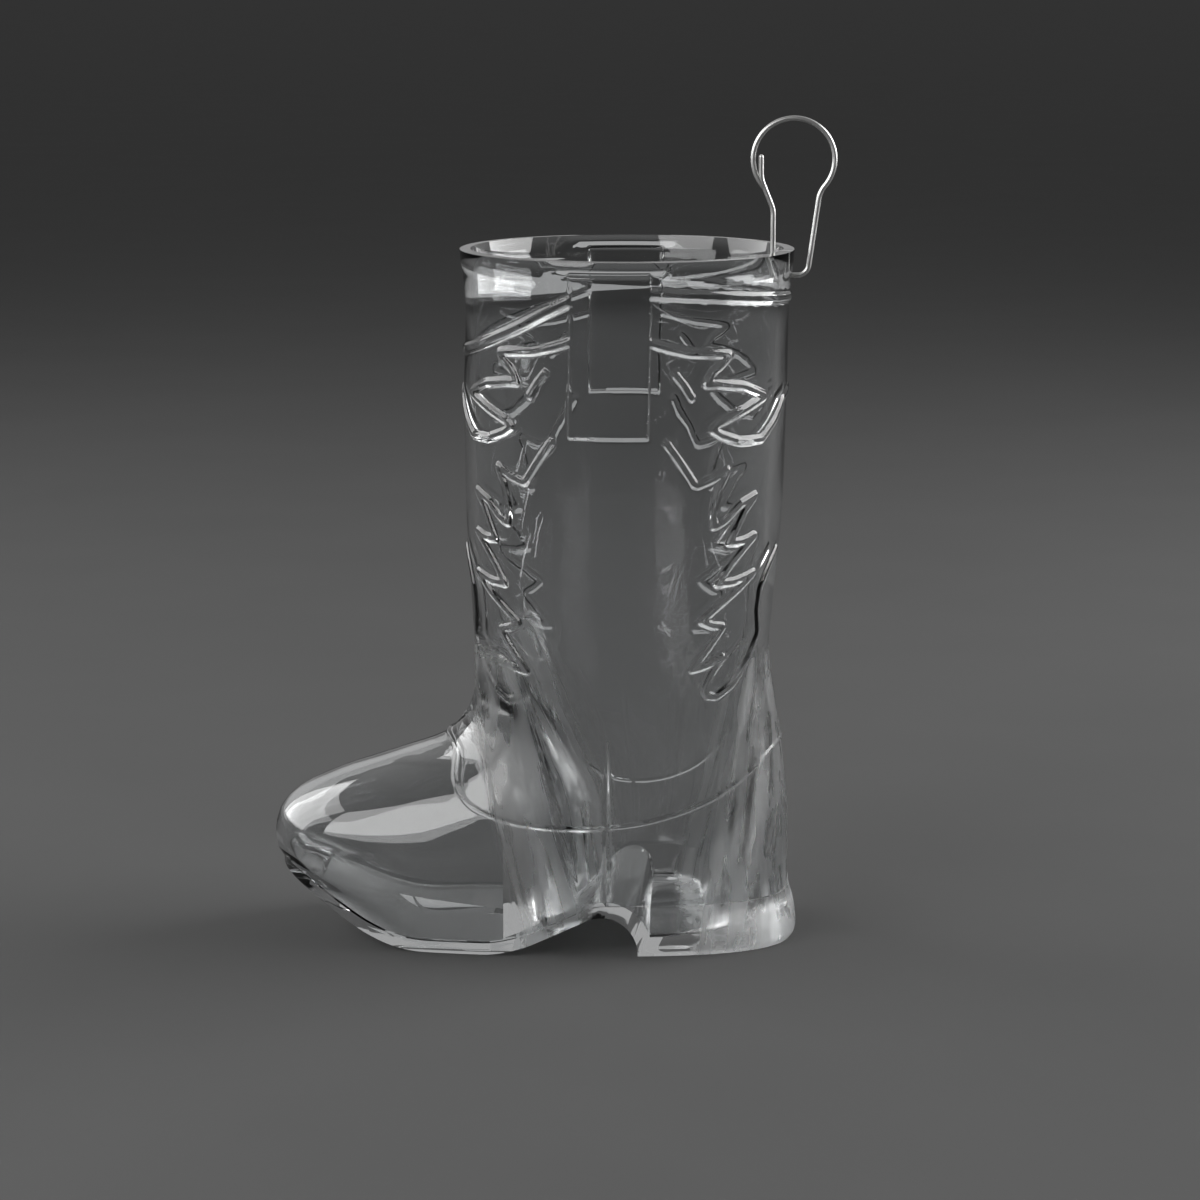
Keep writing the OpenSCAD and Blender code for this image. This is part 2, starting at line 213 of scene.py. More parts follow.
def on_shaft(degrees, z):
    """Place along the skin and angle for degrees from the side seam and a height."""
    t = np.interp(-np.asarray(z, float), -shaft_z, shaft_t)
    return t, SEAM_ANGLE + np.radians(degrees)


def thicken(points, count):
    """The same polyline with count points, evenly spaced along it."""
    points = np.asarray(points, float)
    run = np.concatenate([[0], np.cumsum(np.linalg.norm(np.diff(points, axis=0), axis=1))])
    at = np.linspace(0, run[-1], count)
    return np.stack([np.interp(at, run, column) for column in points.T], -1)


def mirrored(line):
    """A line on the near side and the same line on the far side."""
    return [line, line * np.array([1, -1, 1])]


flame_lines = []
for flame in FLAMES:
    path = thicken(np.array(flame) * FLAME_SCALE, 5 * len(flame)) / FLAME_SCALE
    for way in (-1, 1):
        flame_lines += mirrored(skin(*on_shaft(way * path[:, 0], path[:, 1])))
turn = np.linspace(0, np.pi, 91)
turn_degrees = np.degrees(turn - SEAM_ANGLE)
band_z = through(BAND[:, 0], BAND[:, 1:], turn_degrees)[:, 0]
band_lines = mirrored(skin(on_shaft(turn_degrees, band_z)[0], turn))


def outside_t(row):
    """Place along the skin of a row of the outside table, which may be a fraction."""
    return np.interp(row, np.arange(len(OUTSIDE)), SKIN_T[FIRST_OUTSIDE:])


COUNTER_ROW, COUNTER_DIP = 4.9, 2.6
SIDE_FIRST, SIDE_LAST, SIDE_X = 4.5, 12.6, -1.5
seam_lines = mirrored(skin(outside_t(COUNTER_ROW + COUNTER_DIP * np.sin(turn) ** 3), turn))
side_t = outside_t(np.linspace(SIDE_FIRST, SIDE_LAST, 40))
side_row = through(SKIN_T, SKIN, side_t)
side_u = (2 * SIDE_X - side_row[:, 0] - side_row[:, 2]) / (side_row[:, 2] - side_row[:, 0])
side_p = np.where(side_u < 0, side_row[:, 5], side_row[:, 6])
side_angle = np.arctan2((1 - np.abs(side_u) ** side_p) ** (1 / side_p), side_u)
seam_lines += mirrored(skin(side_t, side_angle))
print(len(flame_lines), "flame lines,", len(band_lines), "band lines,", len(seam_lines), "seams")

# %% [markdown]
# ## Relief as height over the skin
# A raised line could be a tube sunk into the wall, but two clear solids that overlap bend the
# light twice. So the line is made as height added to the skin itself: each point looks up its
# distance to the nearest line. A line is low and flat on top with steep sides, so that the light
# catches its two edges. The pull straps are wider fields of the same kind.

# %% Height of the relief
RELIEF_LINES = [
    (flame_lines, 0.54, 0.24), (band_lines, 0.66, 0.24), (seam_lines, 0.34, 0.16),
]
LINE_EDGE = 0.3
STRAP_HALF, STRAP_LOW, STRAP_HIGH = 4.3, 57.4, 74.5
STRAP_HEIGHT, STRAP_EDGE, STRAP_RADIUS = 0.35, 0.16, 17.8
FAR_OFF = 99


def nearest(points, lines, reach):
    """Distance of each point to the nearest line, or reach where all lines are further off.
    A line is cut into short runs, and only points inside a run's box, widened by reach, are
    measured: the distance to a segment is that to its nearest point a + f (b - a)."""
    found = np.full(len(points), float(reach))
    for line in lines:
        for start in range(0, len(line) - 1, 8):
            run = line[start:start + 9]
            inside = np.all((points > run.min(0) - reach) & (points < run.max(0) + reach), axis=1)
            p = points[inside][:, None]
            a, ab = run[:-1], np.diff(run, axis=0)
            f = np.clip(((p - a) * ab).sum(-1) / np.maximum((ab**2).sum(-1), 1e-12), 0, 1)
            d = np.linalg.norm(p - a - f[..., None] * ab, axis=-1).min(1)
            found[inside] = np.minimum(found[inside], d)
    return found


def strap_distance(t, angle, points):
    """Distance outside the edge of a pull strap, negative on the strap, far inside the well."""
    off = np.abs(np.abs((angle + np.pi) % (2 * np.pi) - np.pi) - SEAM_ANGLE) * STRAP_RADIUS
    ends = np.maximum(STRAP_LOW - points[:, 2], points[:, 2] - STRAP_HIGH)
    return np.where(t > SKIN_T[len(WELL)], np.maximum(off - STRAP_HALF, ends), FAR_OFF)


def relief(t, angle, points):
    """Height over the skin: the highest of the lines, each a smooth step f f (3 - 2 f) from
    its edge to its flat top, and the straps, which lie over the lines."""
    line_height = np.zeros(len(points))
    for lines, half, high in RELIEF_LINES:
        f = np.clip((half - nearest(points, lines, half)) / LINE_EDGE, 0, 1)
        line_height = np.maximum(line_height, high * f * f * (3 - 2 * f))
    f = np.clip(0.5 - strap_distance(t, angle, points) / (2 * STRAP_EDGE), 0, 1)
    strap = f * f * (3 - 2 * f)
    return line_height * (t > SKIN_T[len(WELL)]) * (1 - strap) + STRAP_HEIGHT * strap


# %% [markdown]
# ## A grid that is fine only where it needs to be
# A stitch line is about a millimetre wide, so it needs points every 0.16 mm. A whole boot at that
# spacing would have far too many faces. A quadtree splits a cell in four only where a line
# or a strap edge is near, so the smooth parts stay coarse. Where a small cell meets a large
# one, the large one takes the extra point into its outline, and the sheet stays closed.

# %% Quadtree of the skin
COLUMNS, ROW_STEP, DEPTH = 88, 1.3, 3
CELL_REACH = 0.62
FINE = 2**DEPTH
ROWS = int(round(SKIN_T[-1] / ROW_STEP))


def place(column, row):
    """Place along the skin and angle for lattice steps."""
    return SKIN_T[-1] * row / (ROWS * FINE), 2 * np.pi * column / (COLUMNS * FINE)


def grid_middles(size):
    """Middles of all cells of one size, as place along the skin, angle and point."""
    column, row = np.meshgrid(
        np.arange(COLUMNS * FINE // size), np.arange(ROWS * FINE // size), indexing="ij"
    )
    t, angle = place((column.ravel() + 0.5) * size, (row.ravel() + 0.5) * size)
    return t, angle, skin(t, angle), column.shape


def near_relief(size):
    """True for the cells of one size that a stitch line or a strap edge runs through."""
    t, angle, points, shape = grid_middles(size)
    cell = CELL_REACH * ROW_STEP * size / FINE
    wanted = np.abs(strap_distance(t, angle, points)) < STRAP_EDGE + cell
    for lines, half, _ in RELIEF_LINES:
        wanted |= nearest(points, lines, half + cell) < half + cell
    return (wanted & (t > SKIN_T[len(WELL) + 2])).reshape(shape)


def with_neighbours(split):
    """The split cells and all cells that touch one; columns close into a ring."""
    wide = split | np.roll(split, 1, 0) | np.roll(split, -1, 0)
    wide[:, 1:] |= wide[:, :-1].copy()
    wide[:, :-1] |= wide[:, 1:].copy()
    return wide


def quadtree():
    """Cells as column, row and size in lattice steps. The smallest cells lie on the relief. A
    cell is split if any cell inside or next to it is, so neighbours differ by one size."""
    splits = [near_relief(2)]
    while len(splits) < DEPTH:
        wide = with_neighbours(splits[0])
        blocks = wide.reshape(wide.shape[0] // 2, 2, wide.shape[1] // 2, 2)
        splits.insert(0, blocks.any((1, 3)))
    there = np.ones((COLUMNS, ROWS), bool)
    kept = []
    for level, split in enumerate(splits + [np.zeros((COLUMNS * FINE, ROWS * FINE), bool)]):
        size = FINE >> level
        column, row = np.nonzero(there & ~split)
        kept.append(np.stack([column * size, row * size, np.full(len(row), size)], -1))
        there = (there & split).repeat(2, 0).repeat(2, 1)
    return np.concatenate(kept)


cells = quadtree()
print(len(cells), "cells; finest", int((cells[:, 2] == 1).sum()))

# %% [markdown]
# The cells become polygons. Every cell lists its four corners and the four middles of its
# sides, in order, and drops the middles that no smaller cell uses. The flat ends, under the foot
# and under the floor of the well, are closed with one large face each and cut away later.

# %% Polygons of the skin
def wrap_key(column, row):
    """One number for a lattice point, the same on both sides of the closing seam."""
    return (column % (COLUMNS * FINE)) * (ROWS * FINE + 1) + row


def cell_polygons(cells):
    """Lattice numbers of the points in use, and per cell up to eight of them, -1 for none."""
    column, row, size = cells.T
    half = size // 2
    outline = [(0, 0), (0, 1), (0, 2), (1, 2), (2, 2), (2, 1), (2, 0), (1, 0)]
    steps = np.stack([0 * size, half, size])
    keys = np.stack([wrap_key(column + steps[a], row + steps[b]) for a, b in outline], -1)
    used = np.unique(keys[:, ::2])
    middle_used = np.isin(keys[:, 1::2], used) & (size > 1)[:, None]
    index = np.searchsorted(used, keys).clip(0, len(used) - 1)
    index[:, 1::2] = np.where(middle_used, index[:, 1::2], -1)
    return used, index


def mesh_from(name, points, polygons):
    """A mesh object from points in millimetres from the shaft's axis, and a table of polygons
    in which -1 stands for no corner."""
    keep = polygons >= 0
    totals = keep.sum(1)
    mesh = bpy.data.meshes.new(name)
    mesh.vertices.add(len(points))
    mesh.vertices.foreach_set("co", ((points + [AXIS_X, 0, 0]) * MM).astype(np.float32).ravel())
    mesh.loops.add(int(totals.sum()))
    mesh.loops.foreach_set("vertex_index", polygons[keep].astype(np.int32))
    mesh.polygons.add(len(totals))
    mesh.polygons.foreach_set("loop_start", (np.cumsum(totals) - totals).astype(np.int32))
    mesh.update(calc_edges=True)
    mesh.validate()
    made = bpy.data.objects.new(name, mesh)
    bpy.context.scene.collection.objects.link(made)
    return made


def padded_rows(tables):
    """Tables of polygons under each other, filled up with -1 to the widest."""
    width = max(table.shape[1] for table in tables)
    return np.concatenate([
        np.pad(table, ((0, 0), (0, width - table.shape[1])), constant_values=-1) for table in tables
    ])


used, index = cell_polygons(cells)
point_column, point_row = used // (ROWS * FINE + 1), used % (ROWS * FINE + 1)
point_t, point_angle = place(point_column, point_row)
skin_points = skin(point_t, point_angle)
height = relief(point_t, point_angle, skin_points)
skin_points = skin_points + height[:, None] * skin_normal(point_t, point_angle)
well_end = np.flatnonzero(point_row == 0)[None]
foot_end = np.flatnonzero(point_row == ROWS * FINE)[None, ::-1]
boot = mesh_from("boot_upper_clear", skin_points, padded_rows([index, well_end, foot_end]))
print("skin:", len(boot.data.vertices), "points,", len(boot.data.polygons), "faces")

# %% [markdown]
# ## Cutting the foot
# The toe is hollow from below, the foot ends on a bent plane where the sole is bonded on, and
# the wire needs its hole. Each of these is a closed cutting body, and a Boolean takes it away.
# The cutters are plain lofts and prisms, so the new edges are crisp, as on a moulding.

# %% Cutters
def loft(name, sections):
    """A closed solid through a stack of rings, each with the same number of points, with one
    flat face on each end. The first ring is the lower one and rings run anticlockwise."""
    m, n = sections.shape[:2]
    ring, step = np.meshgrid(np.arange(m - 1), np.arange(n), indexing="ij")
    nxt = (step + 1) % n
    sides = np.stack([ring * n + step, ring * n + nxt, (ring + 1) * n + nxt, (ring + 1) * n + step], -1)
    low, high = np.arange(n)[None, ::-1], np.arange(n)[None] + (m - 1) * n
    return mesh_from(name, sections.reshape(-1, 3), padded_rows([sides.reshape(-1, 4), low, high]))


def prism(name, outline, half_width=30):
    """A closed solid: an outline in x and z, carried straight across from -Y to +Y. The
    outline runs clockwise as seen from the camera side."""
    near = np.stack([outline[:, 0], np.full(len(outline), -half_width), outline[:, 1]], -1)
    return loft(name, np.stack([near, near * [1, -1, 1]]))


def cut(target, tool, how="DIFFERENCE"):
    """Applies one Boolean to the target's mesh and removes the tool."""
    change = target.modifiers.new("cut", "BOOLEAN")
    change.operation, change.solver, change.object = how, "MANIFOLD", tool
    graph = bpy.context.evaluated_depsgraph_get()
    old, target.data = target.data, bpy.data.meshes.new_from_object(target.evaluated_get(graph))
    target.modifiers.clear()
    target.data.name = target.name
    bpy.data.meshes.remove(old)
    bpy.data.meshes.remove(tool.data)
    print(target.name, how.lower(), len(target.data.vertices), "points")


def smooth(piece, sharp_degrees):
    """Smooth shading, broken at edges that turn by more than the given angle."""
    piece.data.polygons.foreach_set("use_smooth", np.ones(len(piece.data.polygons), bool))
    piece.data.set_sharp_from_angle(angle=math.radians(sharp_degrees))


# %% [markdown]
# The bonded plane follows the sole: down from the toe, flat under the ball, up into the arch
# and level over the heel. Its line is a cubic curve that keeps the flats flat.

# %% Tread and bonded face
SOLE_THICK, SEAT_Z = 1.35, 5.6
FRONT_END, BACK_END, CUT_LOW, CUT_HIGH = -42.4, 24, -20, 40
TREAD = np.array([
    [FRONT_END, 10], [-38.4, 7.5], [-34.8, 5.5], [-31.6, 3.6], [-28, 1.6], [-24.5, 0.35],
    [-21.5, 0], [-15, 0], [-11, 0.75], [-6.5, 2.7], [-3.79, 3.93],
])
BOND = np.concatenate([
    TREAD[:-2] + [0, SOLE_THICK],
    [[-6.3, 2.7 + SOLE_THICK], [-3.4, SEAT_Z - 0.3], [-2, SEAT_Z], [BACK_END, SEAT_Z]],
])


def side_line(points, count=90):
    """Dense x and z points of a side view line, as height over x."""
    x = np.linspace(points[0, 0], points[-1, 0], count)
    x = np.unique(np.concatenate([x, points[:, 0]]))
    return np.stack([x, through(points[:, 0], points[:, 1:], x, level=True)[:, 0]], -1)


bond_line = side_line(BOND)
tread_line = side_line(TREAD)
below = np.concatenate([bond_line, [[BACK_END, CUT_LOW], [FRONT_END, CUT_LOW]]])
cut(boot, prism("below_bond", below))

# %% [markdown]
# The toe hollow keeps an even wall to the outside. A thin web parts it from the well: its back
# wall stands upright at the sole and leans forward under the instep.

# %% Toe hollow and hook hole
TOE_WALL, TOE_FIRST, TOE_LAST, TOE_BELOW, TOE_END = 1.2, 4, 13, 3, 9.5
TOE_HALF = np.array([[-60, -30], [-60, 40], [-20.6, 40], [-12.8, 13], [-12.8, -30]])
HOLE_RADIUS, HOLE_Z, HOLE_FROM, HOLE_LENGTH = 0.75, 73.1, 14.0, 8
wide_ring = np.linspace(0, 2 * np.pi, 128, endpoint=False)


def inset_rows(first, last, wall):
    """Rows of the outside moved inwards: the front end along the front outline's normal."""
    rows = OUTSIDE[first:last + 1].copy()
    way = OUTSIDE[first + 1:last + 2, :2] - OUTSIDE[first - 1:last, :2]
    way /= np.linalg.norm(way, axis=1, keepdims=True)
    rows[:, 0] -= wall * way[:, 1]
    rows[:, 1] += wall * way[:, 0]
    rows[:, 2:5] -= wall
    return rows


toe_rows = inset_rows(TOE_FIRST, TOE_LAST, TOE_WALL)[::-1]
under = toe_rows[:1] - [0, TOE_BELOW, 0, TOE_BELOW, 0, 0, 0, 0]
toe_rows = np.concatenate([under, toe_rows])
toe_row = through(np.arange(len(toe_rows), dtype=float), toe_rows, np.linspace(0, TOE_END, 44))


def toe_core(name):
    """The toe hollow as a closed solid: a stack of inset ovals, cut off at its back wall."""
    made = loft(name, oval(toe_row[:, None], wide_ring))
    cut(made, prism("toe_half", TOE_HALF), "INTERSECT")
    return made


cut(boot, toe_core("toe_hollow"))
spin = np.linspace(0, 2 * np.pi, 32, endpoint=False)
circle = HOLE_RADIUS * np.stack([0 * spin, -np.sin(spin), np.cos(spin)], -1)
hole = circle + [HOLE_FROM, 0, HOLE_Z]
cut(boot, loft("hook_hole", np.stack([hole, hole + [HOLE_LENGTH, 0, 0]])))
smooth(boot, sharp_degrees=50)

# %% [markdown]
# ## The sole and heel
# The sole is a thin plate that follows the foot, with a hollow arch and a low heel. Seen from
# above it is one oval, a little wider than the foot; seen from the side it is a bent band. So it
# is the overlap of two solids: a stack of ovals, which gives the flared edge, and a prism of the
# side view. The heel is hollow at the top, where the drinking well ends.

# %% Sole and heel
SOLE_REACH, HEEL_REACH, SOLE_HALF = 38.4, 19.0, 13.5
TOE_ROUND, HEEL_ROUND = 2.25, 3
ARCH, ARCH_RADIUS, ARCH_FROM, ARCH_TO = np.array([-2.1, 0.3]), 4.0, -4.3, 115
BOND_GAP = 0.02
SOLE_EDGE = np.array([
    [-1, 0.8, 0.4], [0, 0.4, 0.2], [0.4, 0.12, 0.06], [0.9, 0, 0], [2.5, 0.2, 0],
    [SEAT_Z, 0.9, 0.15], [12, 0.9, 0.15],
])
edge_z = np.concatenate([np.linspace(-1, 2.5, 22), np.linspace(3, 12, 14)])
edge = through(SOLE_EDGE[:, 0], SOLE_EDGE[:, 1:], edge_z, level=True)
flat = np.zeros(len(edge_z))
sole_rows = np.stack([
    flat - SOLE_REACH, edge_z, HEEL_REACH - edge[:, 0], edge_z, SOLE_HALF - edge[:, 1],
    flat + TOE_ROUND, flat + HEEL_ROUND, flat,
], -1)
sole_ring = np.linspace(0, 2 * np.pi, 240, endpoint=False)
sole = loft("sole_heel_clear", oval(sole_rows[:, None], sole_ring))
swing = np.radians(np.linspace(ARCH_FROM, ARCH_TO, 40))
arch_line = ARCH + ARCH_RADIUS * np.stack([np.cos(swing), np.sin(swing)], -1)
arch_line[0] = [ARCH[0] + math.sqrt(ARCH_RADIUS**2 - ARCH[1] ** 2), 0]
upper_edge = bond_line - [0, BOND_GAP]
side_view = np.concatenate([upper_edge, [[BACK_END, 0]], arch_line, tread_line[-2::-1]])
cut(sole, prism("side_view", side_view), "INTERSECT")

# %% [markdown]
# Where the sole is bonded to the upper, the joint is clear and does not mirror. So the sole is
# cut a hair lower under the two hollows. That leaves the bonded land as faces of its own, which
# can take a finish that lets the light straight through.

# %% Bonded land
HAIR, WELL_FOOT_ROWS = 0.04, 8
land_line = bond_line - [0, BOND_GAP + HAIR]
above_land = np.concatenate([land_line, [[BACK_END, CUT_HIGH], [FRONT_END, CUT_HIGH]]])[::-1]
well_row = through(SKIN_T, SKIN, np.linspace(0, SKIN_T[WELL_FOOT_ROWS], 40))
for core in (loft("well_core", oval(well_row[:, None], wide_ring)), toe_core("toe_core")):
    cut(core, prism("above_land", above_land), "INTERSECT")
    cut(sole, core)


def bonded(piece, line):
    """1 for the faces whose middles lie on a side view line, within a fifth of a hair, or 0."""
    middle = np.empty(len(piece.data.polygons) * 3)
    piece.data.polygons.foreach_get("center", middle)
    middle = middle.reshape(-1, 3) / MM - [AXIS_X, 0, 0]
    off = np.interp(middle[:, 0], *line.T) - middle[:, 2]
    return (np.abs(off) < HAIR / 5).astype(np.int32)


# %% [markdown]
# The drinking well ends in the heel, as a pocket with a rounded edge to its floor. In front the
# pocket stops at a round about the arch's own centre, so that the plate over the arch keeps the
# sole's thickness.

# %% Pocket in the heel
HEEL_FLOOR, POCKET_TOP = 1.6, 9
POCKET_FRONT, POCKET_BACK, POCKET_HALF = -10.6, 12.5, 10.81
OVER_FROM, OVER_TO, POCKET_FAR, POCKET_HIGH = -3.2, 90, 40, 20
FLOOR_ROUND = np.array([[0, 0.8], [0.1, 0.35], [0.35, 0.1], [0.8, 0], [POCKET_TOP - HEEL_FLOOR, 0]])
pocket_z, pocket_in = HEEL_FLOOR + FLOOR_ROUND[:, 0], FLOOR_ROUND[:, 1]
pocket_rows = level_rows(np.stack([
    POCKET_FRONT + pocket_in, POCKET_BACK - pocket_in, pocket_z, POCKET_HALF - pocket_in,
], -1))
pocket_ring = np.linspace(0, 2 * np.pi, 96, endpoint=False)
pocket = loft("heel_pocket", oval(pocket_rows[:, None], pocket_ring))
swing = np.radians(np.linspace(OVER_FROM, OVER_TO, 40))
over_arch = ARCH + (ARCH_RADIUS + SOLE_THICK) * np.stack([np.cos(swing), np.sin(swing)], -1)
behind_arch = np.concatenate([
    [[ARCH[0], POCKET_HIGH], [POCKET_FAR, POCKET_HIGH], [POCKET_FAR, over_arch[0, 1]]], over_arch,
])
cut(pocket, prism("behind_arch", behind_arch), "INTERSECT")
cut(sole, pocket)
smooth(sole, sharp_degrees=35)

# %% [markdown]
# ## The wire hook
# The hook is one length of wire. It is bent as a maker bends it: run straight, turn by an angle
# round a pin, run on. From the hole in the wall one side climbs outside the rim into the round
# loop, and the other climbs inside and ends in the loop. A circle carried along the bent line
# makes the wire, and it shrinks along a half round at each end. A round wire reaches a hair
# further than a faceted one, so it is set back by that hair and stays in the solid's box.

# %% Bending the wire
WIRE_RADIUS, LOOP_RADIUS, HINGE_X = 0.275, 4.4, 17.5
STATION_GAP, STATION_TURN, CAP_SHARE = 0.35, 4, 0.97
ROUNDER = np.array([0.011, 0.001, 0])
OUTER_BENDS = [[1.05, 82, 1.2], [7.2, -32, 3], [0, 255, LOOP_RADIUS], [0.6, 0, 0]]
INNER_BENDS = [[1.05, 90, 0.6], [5.9, -22, 3], [2.4, 22, 3], [1.75, 0, 0]]


def bent(bends):
    """Stations x, z and heading of a bent line from the origin along +X. A straight run adds
    its length along the heading; a turn goes round a centre one bend radius to the side."""
    at, heading, stations = np.zeros(2), 0.0, []
    for run, turn_degrees, radius in bends:
        way = np.array([math.cos(heading), math.sin(heading)])
        f = np.linspace(0, 1, max(2, int(run / STATION_GAP) + 1))[:, None]
        stations.append(np.concatenate([at + f * run * way, np.full((len(f), 1), heading)], 1))
        at = at + run * way
        if turn_degrees:
            side = math.copysign(radius, turn_degrees)
            centre = at + side * np.array([-way[1], way[0]])
            steps = max(6, int(abs(turn_degrees) / STATION_TURN))
            g = heading + math.radians(turn_degrees) * np.linspace(0, 1, steps)
            arc = centre + side * np.stack([np.sin(g), -np.cos(g)], -1)
            stations.append(np.concatenate([arc, g[:, None]], 1))
            at, heading = arc[-1], g[-1]
    line = np.concatenate(stations)
    fresh = np.concatenate([[True], np.linalg.norm(np.diff(line[:, :2], axis=0), axis=1) > 1e-6])
    return line[fresh]


inner = bent(INNER_BENDS)[::-1] * [-1, 1, -1]
wire_line = np.concatenate([inner[:-1], bent(OUTER_BENDS)]) + [HINGE_X, HOLE_Z, 0] - ROUNDER


def wire_rings(line, radius, sides=20, cap=6):
    """Rings of a circle carried along the line, square to its heading. At each end, cap more
    rings follow a half round: out by radius sin(q), and drawn in to radius cos(q). The last
    ring stops a little short of the tip and is closed by a small flat face."""
    q = np.linspace(0, np.pi / 2, cap + 1)[1:] * CAP_SHARE
    out = radius * np.sin(q)
    head, tail = line[:1], line[-1:]
    way = [np.stack([np.cos(p[:, 2]), np.sin(p[:, 2]), 0 * p[:, 2]], -1) for p in (head, tail)]
    full = np.concatenate([head - out[::-1, None] * way[0], line, tail + out[:, None] * way[1]])
    thick = radius * np.concatenate([np.cos(q[::-1]), np.ones(len(line)), np.cos(q)])[:, None]
    a = np.linspace(0, 2 * np.pi, sides, endpoint=False)
    side = thick * np.cos(a)
    x = full[:, :1] - side * np.sin(full[:, 2:])
    z = full[:, 1:2] + side * np.cos(full[:, 2:])
    return np.stack([x, thick * np.sin(a), z], -1)


wire = loft("wire_hook_steel", wire_rings(wire_line, WIRE_RADIUS)[:, ::-1])
smooth(wire, sharp_degrees=60)
print("wire", len(wire.data.vertices), "points")

# %% [markdown]
# ## Finishes
# Clear polystyrene is glass-like, with a higher index than window glass and a faint tint. A moulding
# is never quite even: the melt leaves slow flow lines, and handling leaves a haze that comes and goes.
# Node groups make these effects, and both clear pieces use them with their own values. Two small
# helpers come first: one makes a group with its sockets, the other a node with its values.

# %% Making groups and nodes
def new_group(name, inputs, outputs):
    """A shader node group with named sockets."""
    group = bpy.data.node_groups.new(name, "ShaderNodeTree")
    for socket, kind, value in inputs:
        made = group.interface.new_socket(socket, in_out="INPUT", socket_type=kind)
        made.default_value = value
    for socket, kind in outputs:
        group.interface.new_socket(socket, in_out="OUTPUT", socket_type=kind)
    return group, group.nodes.new("NodeGroupInput"), group.nodes.new("NodeGroupOutput")


def add_node(tree, kind, **values):
    """A node with the named properties, or default values of its named inputs."""
    node = tree.nodes.new(kind)
    for key, value in values.items():
        if key in node.inputs:
            node.inputs[key].default_value = value
        else:
            setattr(node, key, value)
    return node


# %% [markdown]
# A mask is made of sums on single values. Four helpers name the sums that the groups need, so that
# a group reads as a formula and not as a list of links.

# %% Sums of values
def across(tree, split, lean):
    """The place x + lean z across a family of leaning lines."""
    made = add_node(tree, "ShaderNodeMath", operation="MULTIPLY_ADD")
    tree.links.new(split.outputs["Z"], made.inputs[0])
    made.inputs[1].default_value = lean
    tree.links.new(split.outputs["X"], made.inputs[2])
    return made.outputs["Value"]


def smooth_step(tree, value, middle, edge):
    """From 0 to 1 about a middle, over an edge to each side, in millimetres. With a negative
    edge it falls from 1 to 0."""
    made = add_node(tree, "ShaderNodeMapRange", interpolation_type="SMOOTHSTEP",
                    **{"From Min": (middle - edge) * MM, "From Max": (middle + edge) * MM})
    tree.links.new(value, made.inputs["Value"])
    return made.outputs["Result"]


def join(tree, a, b, how="MULTIPLY"):
    """One value from two: their product, or what another operation makes of them."""
    made = add_node(tree, "ShaderNodeMath", operation=how)
    tree.links.new(a, made.inputs[0])
    tree.links.new(b, made.inputs[1])
    return made.outputs["Value"]


def times_plus(tree, value, factor, base):
    """A value times a factor, plus a base. Each may be a socket or a plain number."""
    made = add_node(tree, "ShaderNodeMath", operation="MULTIPLY_ADD")
    for socket, source in zip(made.inputs, (value, factor, base)):
        if isinstance(source, float):
            socket.default_value = source
        else:
            tree.links.new(source, socket)
    return made.outputs["Value"]


# %% [markdown]
# Where the moulding is thick, it shrank as it cooled and drew streaks. That is so in the web in front
# of the drinking well and in the wedge behind it. A clear block traps light between its faces and looks
# black there. The streaks let that light out, so these zones shine. Both zones lean, and a leaning
# border is a straight line in x + lean z.

# %% Node group: thick zones
WEB_LEAN, WEB_FROM, WEB_TO, WEB_TOP = 0.25, -10.0, -3.4, 33
HEEL_LEAN, HEEL_FROM, HEEL_TOP = -0.17, 7.7, 32
ZONE_EDGE = 1.0
STREAK_STRETCH, STREAK_SCALE, STREAK_LOW, STREAK_HIGH = 0.1, 480.0, 0.38, 0.62


